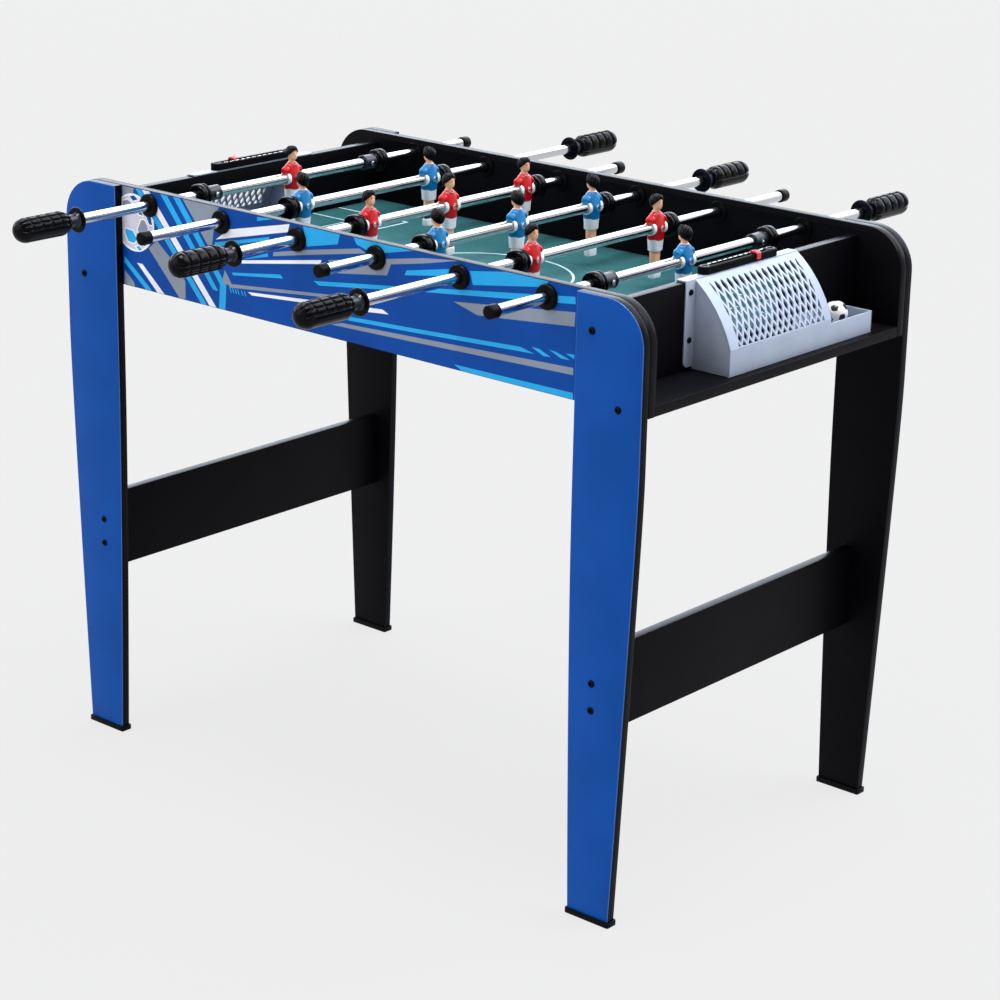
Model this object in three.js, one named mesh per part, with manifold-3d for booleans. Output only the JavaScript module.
// Six-rod foosball table on four board legs.
//
// Frame: millimetres, +Z up, origin on the floor under the centre of the table.
// X runs along the table's length and -Y is the front, where the red team's handles are.
// The carcase is 12 mm board: two long side panels, two end walls, a bottom board, and a thin
// playing field held in grooves. Each end wall carries a moulded goal box with a ball tray and a
// score rail. Each of the six lines is a tube that slides and spins in the side panels, with a
// handle at one end, a cap at the other, its players, and two loose rubber bumpers.

import * as THREE from 'three';
import { mergeVertices } from 'three/addons/utils/BufferGeometryUtils.js';
import Module from 'manifold-3d';

const wasm = await Module();
wasm.setup();

// ---- driving dimensions -------------------------------------------------------------------

const GAP = 0.3; // air left between two touching pieces
const ROUND_SIDES = 12; // facets round a small turned piece
const BOARD = 12; // thickness of every structural board

const TABLE_LENGTH = 920;
const TABLE_HEIGHT = 728;
const BODY_WIDTH = 488; // across the outer faces of the side panels
const PANEL_HEIGHT = 126;
const CORNER_RADIUS = 50; // top corners of the side panels and legs
const CORNER_STEPS = 6;

const HALF_LENGTH = TABLE_LENGTH / 2;
const PANEL_OUTER = BODY_WIDTH / 2;
const PANEL_INNER = PANEL_OUTER - BOARD;
const PANEL_BOTTOM = TABLE_HEIGHT - PANEL_HEIGHT;

const FIELD_TOP = 636;
const FIELD_THICKNESS = 3;
const FIELD_GROOVE = 4; // how far the field's long edges enter the side panels

const WALL_OUTER = 397; // outer face of an end wall, from the centre
const WALL_INNER = WALL_OUTER - BOARD;
const WALL_TOP = 715;
const MOUTH_HALF_WIDTH = 85;
const MOUTH_TOP = 692;

const LEG_TOP_INNER = 368;
const LEG_FOOT_INNER = 378.8;
const LEG_FOOT_OUTER = 437.6;
const LEG_OUTER_BEND = 540; // height where the outer edge leaves the vertical
const LEG_OUTER_PULL = 470; // height of that curve's control point
const LEG_INNER_BEND = 500;
const LEG_INNER_PULL = 330;
const LEG_STEPS = 6;
const CAP_WALL = 2;
const CAP_HEIGHT = 7;

const STRETCHER_INNER = 396;
const STRETCHER_BOTTOM = 223;
const STRETCHER_TOP = 323;

const ROD_SPACING = 127;
const ROD_HEIGHT = 710;
const ROD_RADIUS = 6.35;
const TUBE_BORE_RADIUS = 5;
const ROD_HOLE_RADIUS = 7; // clearance hole in whatever the rod turns in
const ROD_END_RADIUS = 7.8;
const ROD_END_LENGTH = 12;
const ROD_END_ROUND = 1.5;
const ROD_END_PLUG = 3; // solid end of the cap beyond the tube's bore

const BUSH_RADIUS = 14.5;
const BUSH_OUTSIDE = 5; // how far a rod bush stands out of the panel's outer face
const BUSH_INSIDE = 2;

const COLLAR_RADIUS = 10;
const COLLAR_LENGTH = 20;
const BUMPER_RADIUS = 14.5;
const BUMPER_LENGTH = 17;
const SOCKET_GAP = 0.5; // air between the tube's end and the bottom of the handle's socket

const HANDLE_LENGTH = 95.5;
const HANDLE_RADIUS = 15;
const HANDLE_FLANGE_RADIUS = 15.5;
const HANDLE_FLANGE_LENGTH = 3;
const HANDLE_NECK_RADIUS = 7.8;
const HANDLE_NECK_END = 15;
const HANDLE_SHOULDER_RADIUS = 12.5;
const HANDLE_SHOULDER_END = 17;
const HANDLE_FULL_FROM = 30; // distance from the flange where the grip is at its full radius
const HANDLE_DOME_STEPS = 4;
const HANDLE_SOCKET = 50;

const HUB_RADIUS = 10;
const HUB_HALF_LENGTH = 13;

const BALL_RADIUS = 14.5;

// ---- materials ----------------------------------------------------------------------------

function material(color, roughness, metalness = 0) {
  return new THREE.MeshStandardMaterial({ color, roughness, metalness });
}

const blackBoard = material(0x17181c, 0.45);
const printedBoard = material(0x1f4f9e, 0.4);
const greenField = material(0x2f6b63, 0.3);
const blackPlastic = material(0x121214, 0.5);
const greyPlastic = material(0xaab0be, 0.45);
const chrome = material(0xd8dadd, 0.15, 1);
const rubber = material(0x151516, 0.7);
const redPlayer = material(0xc4161f, 0.35);
const bluePlayer = material(0x2583c4, 0.35);
const redBead = material(0xc21a22, 0.35);
const ballWhite = material(0xf1f1ee, 0.35);

// ---- geometry helpers ---------------------------------------------------------------------

/** A manifold-3d solid made from any closed three.js geometry. */
function toSolid(geometry) {
  const bare = geometry.clone();
  bare.deleteAttribute('normal');
  bare.deleteAttribute('uv');
  const merged = mergeVertices(bare, 1e-4);
  const corners = merged.index.array;
  const triangles = [];
  for (let i = 0; i < corners.length; i += 3) {
    const [a, b, c] = [corners[i], corners[i + 1], corners[i + 2]];
    if (a !== b && b !== c && c !== a) triangles.push(a, b, c);
  }
  return new wasm.Manifold(new wasm.Mesh({
    numProp: 3,
    vertProperties: Float32Array.from(merged.attributes.position.array),
    triVerts: Uint32Array.from(triangles),
  }));
}

/** A three.js geometry made from a manifold-3d solid. */
function toGeometry(solid) {
  const mesh = solid.getMesh();
  const geometry = new THREE.BufferGeometry();
  geometry.setAttribute('position', new THREE.BufferAttribute(mesh.vertProperties, 3));
  geometry.setIndex(new THREE.BufferAttribute(mesh.triVerts, 1));
  geometry.computeVertexNormals();
  return geometry;
}

/** A box between two corners. */
function box([x0, y0, z0], [x1, y1, z1]) {
  const geometry = new THREE.BoxGeometry(x1 - x0, y1 - y0, z1 - z0);
  return geometry.translate((x0 + x1) / 2, (y0 + y1) / 2, (z0 + z1) / 2);
}

/** An outline in X and Z, given as a THREE.Shape, extruded from y0 to y1. */
function extrudeAlongY(outline, y0, y1, curveSegments = CORNER_STEPS) {
  const geometry = new THREE.ExtrudeGeometry(outline, {
    depth: y1 - y0,
    bevelEnabled: false,
    curveSegments,
  });
  return geometry.rotateX(Math.PI / 2).translate(0, y1, 0);
}

/** An outline in Y and Z, given as a THREE.Shape, extruded from x0 to x1. */
function extrudeAlongX(outline, x0, x1) {
  const geometry = new THREE.ExtrudeGeometry(outline, { depth: x1 - x0, bevelEnabled: false });
  return geometry.rotateX(Math.PI / 2).rotateZ(Math.PI / 2).translate(x0, 0, 0);
}

/** A closed shape through [across, up] points on one side of a centre line, mirrored. */
function mirroredShape(halfOutline) {
  const right = halfOutline.map(([across, up]) => new THREE.Vector2(across, up));
  const left = halfOutline.map(([across, up]) => new THREE.Vector2(-across, up)).reverse();
  return new THREE.Shape([...right, ...left]);
}

/** A turned piece whose axis is Y, from [radius, y] points. */
function turnedAlongY(profile) {
  const points = profile.map(([radius, y]) => new THREE.Vector2(radius, y));
  return new THREE.LatheGeometry(points, ROUND_SIDES);
}

/** A cylinder whose axis is Y, between two y values. */
function pinAlongY(radius, x, z, y0, y1) {
  const geometry = new THREE.CylinderGeometry(radius, radius, y1 - y0, ROUND_SIDES);
  return geometry.translate(x, (y0 + y1) / 2, z);
}

const table = new THREE.Group();

/** Adds one named piece to a parent group. */
function addPiece(name, geometry, finish, parent = table) {
  const mesh = new THREE.Mesh(geometry, finish);
  mesh.name = name;
  parent.add(mesh);
  return mesh;
}

const rodPlaces = [-2.5, -1.5, -0.5, 0.5, 1.5, 2.5].map((step) => step * ROD_SPACING);

// ---- carcase ------------------------------------------------------------------------------

/** The front side panel: rounded top corners, a field groove, and six bushed rod holes. */
function sidePanel() {
  const outline = new THREE.Shape();
  outline.moveTo(-HALF_LENGTH, PANEL_BOTTOM);
  outline.lineTo(HALF_LENGTH, PANEL_BOTTOM);
  outline.lineTo(HALF_LENGTH, TABLE_HEIGHT - CORNER_RADIUS);
  outline.absarc(HALF_LENGTH - CORNER_RADIUS, TABLE_HEIGHT - CORNER_RADIUS,
    CORNER_RADIUS, 0, Math.PI / 2);
  outline.lineTo(CORNER_RADIUS - HALF_LENGTH, TABLE_HEIGHT);
  outline.absarc(CORNER_RADIUS - HALF_LENGTH, TABLE_HEIGHT - CORNER_RADIUS,
    CORNER_RADIUS, Math.PI / 2, Math.PI);
  outline.closePath();
  let panel = toSolid(extrudeAlongY(outline, -PANEL_OUTER, -PANEL_INNER));
  for (const x of rodPlaces) {
    const bush = pinAlongY(BUSH_RADIUS, x, ROD_HEIGHT, -PANEL_OUTER - BUSH_OUTSIDE,
      -PANEL_INNER + BUSH_INSIDE);
    panel = panel.add(toSolid(bush));
  }
  for (const x of rodPlaces) {
    const hole = pinAlongY(ROD_HOLE_RADIUS, x, ROD_HEIGHT, -PANEL_OUTER - 2 * BUSH_OUTSIDE,
      -PANEL_INNER + 2 * BUSH_OUTSIDE);
    panel = panel.subtract(toSolid(hole));
  }
  const groove = box(
    [-WALL_INNER, -PANEL_INNER - FIELD_GROOVE, FIELD_TOP - FIELD_THICKNESS - GAP],
    [WALL_INNER, -PANEL_INNER + BOARD, FIELD_TOP + GAP],
  );
  return toGeometry(panel.subtract(toSolid(groove)));
}

/** The end wall at the right-hand end, with the goal mouth cut through it. */
function endWall() {
  const board = box([WALL_INNER, -PANEL_INNER + GAP, PANEL_BOTTOM + BOARD + GAP],
    [WALL_OUTER, PANEL_INNER - GAP, WALL_TOP]);
  const mouth = box([WALL_INNER - BOARD, -MOUTH_HALF_WIDTH, FIELD_TOP],
    [WALL_OUTER + BOARD, MOUTH_HALF_WIDTH, MOUTH_TOP]);
  return toGeometry(toSolid(board).subtract(toSolid(mouth)));
}

addPiece('front_side_panel', sidePanel(), printedBoard);
addPiece('back_side_panel', sidePanel(), printedBoard).rotation.z = Math.PI;
addPiece('right_end_wall', endWall(), blackBoard);
addPiece('left_end_wall', endWall(), blackBoard).rotation.z = Math.PI;

const fieldHalfWidth = PANEL_INNER + FIELD_GROOVE - GAP;
addPiece('playing_field', box(
  [-WALL_INNER + GAP, -fieldHalfWidth, FIELD_TOP - FIELD_THICKNESS],
  [WALL_INNER - GAP, fieldHalfWidth, FIELD_TOP],
), greenField);

addPiece('bottom_board', box(
  [-HALF_LENGTH, -PANEL_INNER + GAP, PANEL_BOTTOM],
  [HALF_LENGTH, PANEL_INNER - GAP, PANEL_BOTTOM + BOARD],
), blackBoard);

// ---- legs, foot caps and stretchers -------------------------------------------------------

/** The outline of the right-hand leg: round outer top corner, both edges curving in below. */
function legOutline() {
  const foot = CAP_WALL + GAP;
  const outline = new THREE.Shape();
  outline.moveTo(LEG_FOOT_INNER, foot);
  outline.lineTo(LEG_FOOT_OUTER, foot);
  outline.quadraticCurveTo(HALF_LENGTH, LEG_OUTER_PULL, HALF_LENGTH, LEG_OUTER_BEND);
  outline.lineTo(HALF_LENGTH, TABLE_HEIGHT - CORNER_RADIUS);
  outline.absarc(HALF_LENGTH - CORNER_RADIUS, TABLE_HEIGHT - CORNER_RADIUS,
    CORNER_RADIUS, 0, Math.PI / 2);
  outline.lineTo(LEG_TOP_INNER, TABLE_HEIGHT);
  outline.lineTo(LEG_TOP_INNER, LEG_INNER_BEND);
  outline.quadraticCurveTo(LEG_TOP_INNER, LEG_INNER_PULL, LEG_FOOT_INNER, foot);
  return outline;
}

/** A leg board laid on the panel's outer face, at the front right corner. */
function legBoard() {
  const inner = PANEL_OUTER + GAP;
  return extrudeAlongY(legOutline(), -PANEL_OUTER - BOARD, -inner, LEG_STEPS);
}

/** The moulded cap round the foot of the front right leg. */
function footCap() {
  const reach = CAP_WALL + GAP;
  const [y0, y1] = [-PANEL_OUTER - BOARD, -PANEL_OUTER - GAP];
  const outer = box([LEG_FOOT_INNER - reach, y0 - reach, 0],
    [LEG_FOOT_OUTER + reach + GAP, y1 + reach, CAP_HEIGHT]);
  const pocket = box([LEG_FOOT_INNER - GAP, y0 - GAP, CAP_WALL],
    [LEG_FOOT_OUTER + 2 * GAP, y1 + GAP, CAP_HEIGHT + CAP_WALL]);
  return toGeometry(toSolid(outer).subtract(toSolid(pocket)));
}

/** The same solid mirrored to the left-hand end. */
function mirroredInX(geometry) {
  return toGeometry(toSolid(geometry).mirror([1, 0, 0]));
}

for (const end of ['right', 'left']) {
  const shapeFor = (geometry) => (end === 'right' ? geometry : mirroredInX(geometry));
  for (const side of ['front', 'back']) {
    // Turned half round, a left-hand piece becomes the back right one, and a right-hand piece
    // the back left one.
    const turned = side === 'back';
    const name = turned ? `back_${end === 'right' ? 'left' : 'right'}` : `front_${end}`;
    const leg = addPiece(`${name}_leg`, shapeFor(legBoard()), printedBoard);
    const cap = addPiece(`${name}_foot_cap`, shapeFor(footCap()), blackPlastic);
    leg.rotation.z = turned ? Math.PI : 0;
    cap.rotation.z = turned ? Math.PI : 0;
  }
  const stretcher = box([STRETCHER_INNER, -PANEL_OUTER, STRETCHER_BOTTOM],
    [STRETCHER_INNER + BOARD, PANEL_OUTER, STRETCHER_TOP]);
  addPiece(`${end}_stretcher`, shapeFor(stretcher), blackBoard);
}

// ---- goal boxes, score rails and ball -----------------------------------------------------

const BOX_WALL = 2; // moulded wall thickness
const BOX_BACK = WALL_OUTER + GAP; // face that lies on the end wall
const BOX_FRONT = 450.5;
const BOX_BASE = PANEL_BOTTOM + BOARD + GAP;
const BOX_TOP = WALL_TOP + GAP + BOX_WALL;
const TRAY_FLOOR = 621.5;
const TRAY_RIM = 640;
const TRAY_END = 190;
const HOOD_LEFT = -88;
const HOOD_RIGHT = 106;
const HOOD_SPRING = 645; // height where the curved net starts
const HOOD_RADIUS = 142;
const HOOD_ARC_X = BOX_FRONT - 135; // axis of the curved net
const HOOD_ARC_Z = HOOD_SPRING - 44;
const HOOD_EDGE = 1; // upright edge between the curve and the top
const HOOD_RIM = 6; // rim left round the hood's open right-hand side
const FLANGE_LEFT = -105;
const FLANGE_BOTTOM = 618;

/** The side view of the hood, from the wall out to the net; inset shrinks it all round. */
function hoodOutline(inset, back, base) {
  const front = BOX_FRONT - inset;
  const top = BOX_TOP - inset;
  const radius = HOOD_RADIUS - inset;
  const start = Math.asin((HOOD_SPRING - HOOD_ARC_Z) / HOOD_RADIUS);
  const end = Math.asin((top - HOOD_EDGE - HOOD_ARC_Z) / radius);
  const outline = new THREE.Shape();
  outline.moveTo(back, base);
  outline.lineTo(front, base);
  outline.absarc(HOOD_ARC_X, HOOD_ARC_Z, radius, start, end);
  outline.lineTo(HOOD_ARC_X + radius * Math.cos(end), top);
  outline.lineTo(back, top);
  outline.closePath();
  return outline;
}

/** The goal box at the right-hand end: hood, ball tray and the flanges that screw to the wall. */
function goalBox() {
  const hood = toSolid(extrudeAlongY(hoodOutline(0, BOX_BACK, BOX_BASE), HOOD_LEFT, HOOD_RIGHT));
  const tray = toSolid(box([BOX_BACK, HOOD_RIGHT - BOX_WALL, BOX_BASE],
    [BOX_FRONT, TRAY_END, TRAY_RIM]));
  const faceFlange = toSolid(box([BOX_BACK, FLANGE_LEFT, FLANGE_BOTTOM],
    [BOX_BACK + BOX_WALL, HOOD_LEFT + BOX_WALL, BOX_TOP]));
  const topFlange = toSolid(box([WALL_INNER, FLANGE_LEFT, WALL_TOP + GAP],
    [BOX_BACK + BOX_WALL, HOOD_RIGHT, BOX_TOP]));

  const hoodHollow = toSolid(extrudeAlongY(
    hoodOutline(BOX_WALL, BOX_BACK - BOX_WALL, TRAY_FLOOR),
    HOOD_LEFT + BOX_WALL, HOOD_RIGHT - BOX_WALL));
  const trayHollow = toSolid(box([BOX_BACK + BOX_WALL, HOOD_RIGHT - 2 * BOX_WALL, TRAY_FLOOR],
    [BOX_FRONT - BOX_WALL, TRAY_END - BOX_WALL, TRAY_RIM + BOX_WALL]));
  const ballDoor = toSolid(extrudeAlongY(
    hoodOutline(HOOD_RIM, WALL_INNER, TRAY_FLOOR),
    HOOD_RIGHT - 2 * BOX_WALL, HOOD_RIGHT + BOX_WALL));
  const underside = toSolid(box([BOX_BACK + BOX_WALL, HOOD_LEFT + BOX_WALL, BOX_BASE - BOX_WALL],
    [BOX_FRONT - BOX_WALL, TRAY_END - BOX_WALL, TRAY_FLOOR - BOX_WALL]));

  const shell = hood.add(tray).add(faceFlange).add(topFlange);
  return toGeometry(shell.subtract(hoodHollow).subtract(trayHollow).subtract(ballDoor)
    .subtract(underside));
}

const RAIL_CENTRE = (WALL_INNER + WALL_OUTER) / 2;
const RAIL_HALF_LENGTH = 70;
const RAIL_HALF_WIDTH = 7.5;
const RAIL_TOP = 726;
const RAIL_BASE = BOX_TOP + GAP;
const RAIL_FLOOR = 720;
const SLOT_HALF_LENGTH = 52;
const SLOT_HALF_WIDTH = 2;
const BEAD_HALF_LENGTH = 4;
const BEAD_WALL = 1.7; // the bead's wall outside the rail

/** The score rail: a round-ended bar with a slot that the bead's tongue runs in. */
function scoreRail() {
  const straight = RAIL_HALF_LENGTH - RAIL_HALF_WIDTH;
  const outline = new THREE.Shape();
  outline.absarc(RAIL_CENTRE, straight, RAIL_HALF_WIDTH, 0, Math.PI);
  outline.absarc(RAIL_CENTRE, -straight, RAIL_HALF_WIDTH, Math.PI, 2 * Math.PI);
  outline.closePath();
  const bar = new THREE.ExtrudeGeometry(outline, {
    depth: RAIL_TOP - RAIL_BASE,
    bevelEnabled: false,
    curveSegments: CORNER_STEPS,
  }).translate(0, 0, RAIL_BASE);
  const slot = box([RAIL_CENTRE - SLOT_HALF_WIDTH, -SLOT_HALF_LENGTH, RAIL_FLOOR],
    [RAIL_CENTRE + SLOT_HALF_WIDTH, SLOT_HALF_LENGTH, TABLE_HEIGHT]);
  return toGeometry(toSolid(bar).subtract(toSolid(slot)));
}

/** The score bead: a clip over the rail's outer wall, with a tongue in the slot. */
function scoreBead() {
  const outerWall = RAIL_CENTRE + RAIL_HALF_WIDTH + GAP;
  const tongue = SLOT_HALF_WIDTH - GAP;
  const clip = box([RAIL_CENTRE - tongue, -BEAD_HALF_LENGTH, RAIL_FLOOR + GAP],
    [outerWall + BEAD_WALL, BEAD_HALF_LENGTH, TABLE_HEIGHT]);
  const wallSpace = box([RAIL_CENTRE + tongue, -2 * BEAD_HALF_LENGTH, RAIL_BASE - BOX_WALL],
    [outerWall, 2 * BEAD_HALF_LENGTH, RAIL_TOP + GAP]);
  return toGeometry(toSolid(clip).subtract(toSolid(wallSpace)));
}

// Both ends carry the same mouldings: the left-hand set is the right-hand one turned half round.
const SCORE_BEAD_PLACE = { right: 28, left: 30 };
for (const end of ['right', 'left']) {
  const set = new THREE.Group();
  set.rotation.z = end === 'right' ? 0 : Math.PI;
  table.add(set);
  addPiece(`${end}_goal_box`, goalBox(), greyPlastic, set);
  addPiece(`${end}_score_rail`, scoreRail(), blackPlastic, set);
  addPiece(`${end}_score_bead`, scoreBead(), redBead, set).position.y = SCORE_BEAD_PLACE[end];
}

const BALL_X = 418;
const BALL_Y = 162.5;
const ball = addPiece('ball', new THREE.SphereGeometry(BALL_RADIUS, 12, 8), ballWhite);
ball.position.set(BALL_X, BALL_Y, TRAY_FLOOR + GAP + BALL_RADIUS);

// ---- rods, handles, players and bumpers ---------------------------------------------------

// Distances along a rod are from the middle of its players. The handle is towards -Y.
const GOALIE = { players: [0], handle: 358.5, end: 339, bumper: 150.5, collar: 140 };
const MIDFIELD = { players: [-142, 0, 142], handle: 365, end: 340, bumper: 155.5 };
const FORWARD = { players: [-115, 115], handle: 397, end: 381, bumper: 128.5 };

/** The tube with its end cap and, on a goalie rod, its two stop collars. */
function rod(layout) {
  const start = -layout.handle - HANDLE_SOCKET + SOCKET_GAP;
  const capStart = layout.end - ROD_END_LENGTH;
  const tubeEnd = layout.end - ROD_END_PLUG;
  const collarProfile = (centre) => [
    [ROD_RADIUS, centre - COLLAR_LENGTH / 2],
    [COLLAR_RADIUS, centre - COLLAR_LENGTH / 2],
    [COLLAR_RADIUS, centre + COLLAR_LENGTH / 2],
    [ROD_RADIUS, centre + COLLAR_LENGTH / 2],
  ];
  const collars = layout.collar ? [-layout.collar, layout.collar].flatMap(collarProfile) : [];
  return turnedAlongY([
    [0, tubeEnd],
    [TUBE_BORE_RADIUS, tubeEnd],
    [TUBE_BORE_RADIUS, start],
    [ROD_RADIUS, start],
    ...collars,
    [ROD_RADIUS, capStart],
    [ROD_END_RADIUS, capStart],
    [ROD_END_RADIUS, layout.end - ROD_END_ROUND],
    [ROD_END_RADIUS - ROD_END_ROUND, layout.end],
    [0, layout.end],
  ]);
}

/** The moulded handle: flange, short neck and a domed grip, with a blind socket for the tube. */
function handle(layout) {
  const at = (distance) => -layout.handle - distance;
  const dome = [];
  for (let step = 0; step <= HANDLE_DOME_STEPS; step += 1) {
    const angle = (step / HANDLE_DOME_STEPS) * (Math.PI / 2);
    const along = HANDLE_LENGTH - HANDLE_RADIUS * (1 - Math.cos(angle));
    dome.push([step === 0 ? 0 : HANDLE_RADIUS * Math.sin(angle), at(along)]);
  }
  return turnedAlongY([
    ...dome,
    [HANDLE_RADIUS, at(HANDLE_FULL_FROM)],
    [HANDLE_SHOULDER_RADIUS, at(HANDLE_SHOULDER_END)],
    [HANDLE_NECK_RADIUS, at(HANDLE_NECK_END)],
    [HANDLE_NECK_RADIUS, at(HANDLE_FLANGE_LENGTH)],
    [HANDLE_FLANGE_RADIUS, at(HANDLE_FLANGE_LENGTH)],
    [HANDLE_FLANGE_RADIUS, at(0)],
    [ROD_HOLE_RADIUS, at(0)],
    [ROD_HOLE_RADIUS, at(HANDLE_SOCKET)],
    [0, at(HANDLE_SOCKET)],
  ]);
}

/** A loose rubber bumper: a thick ring that starts at y = 0. */
function bumper() {
  return turnedAlongY([
    [ROD_HOLE_RADIUS, 0],
    [BUMPER_RADIUS, 0],
    [BUMPER_RADIUS, BUMPER_LENGTH],
    [ROD_HOLE_RADIUS, BUMPER_LENGTH],
    [ROD_HOLE_RADIUS, 0],
  ]);
}

// Half outlines of a player as [distance from the middle, height above the rod's axis]: foot,
// leg, shorts, shirt, shoulder, neck and head.
const PLAYER_FRONT = [
  [8, -61.5], [9, -60], [8.5, -48], [7.5, -37],
  [9.5, -27.5], [11.5, -27.2], [10.5, -13],
  [11.5, 0], [12.8, 7], [12.5, 14], [9, 18], [4.5, 19],
  [4.5, 23], [7, 27], [7, 35], [4, 39.5],
];
const PLAYER_SIDE = [
  [5.2, -61.5], [5.5, -48], [4.2, -46], [4.5, -27.5],
  [6.5, -27.2], [8.5, -13], [9.5, 0], [9.5, 8], [6, 17],
  [4.5, 19], [4.5, 23], [7.5, 26], [8, 34], [5, 39.5],
];

/** A player, facing +X, with its middle on the rod's axis; heights are from that axis. */
function player() {
  const reach = 2 * HUB_HALF_LENGTH;
  const front = toSolid(extrudeAlongX(mirroredShape(PLAYER_FRONT), -reach, reach));
  const side = toSolid(extrudeAlongY(mirroredShape(PLAYER_SIDE), -reach, reach));
  const hub = toSolid(pinAlongY(HUB_RADIUS, 0, 0, -HUB_HALF_LENGTH, HUB_HALF_LENGTH));
  const hole = toSolid(pinAlongY(ROD_HOLE_RADIUS, 0, 0, -reach, reach));
  return toGeometry(front.intersect(side).add(hub).subtract(hole));
}

// From the red goal to the blue one. A blue line is a red one turned half round, so that its
// handle is at the back and its players face -X. slide is how far the line has been moved.
const LINES = [
  { name: 'red_goalie', layout: GOALIE, slide: 0 },
  { name: 'blue_forward', layout: FORWARD, slide: 7 },
  { name: 'red_midfield', layout: MIDFIELD, slide: 19 },
  { name: 'blue_midfield', layout: MIDFIELD, slide: 0 },
  { name: 'red_forward', layout: FORWARD, slide: -7 },
  { name: 'blue_goalie', layout: GOALIE, slide: -3 },
];

LINES.forEach(({ name, layout, slide }, index) => {
  const isRed = name.startsWith('red');
  const line = new THREE.Group();
  line.position.set(rodPlaces[index], slide, ROD_HEIGHT);
  line.rotation.z = isRed ? 0 : Math.PI;
  table.add(line);
  addPiece(`${name}_rod`, rod(layout), chrome, line);
  addPiece(`${name}_handle`, handle(layout), blackPlastic, line);
  layout.players.forEach((y, number) => {
    const team = isRed ? redPlayer : bluePlayer;
    addPiece(`${name}_player_${number + 1}`, player(), team, line).position.y = y;
  });
  addPiece(`${name}_bumper_handle_side`, bumper(), rubber, line).position.y =
    -layout.bumper - BUMPER_LENGTH;
  addPiece(`${name}_bumper_end_side`, bumper(), rubber, line).position.y = layout.bumper;
});

export default table;
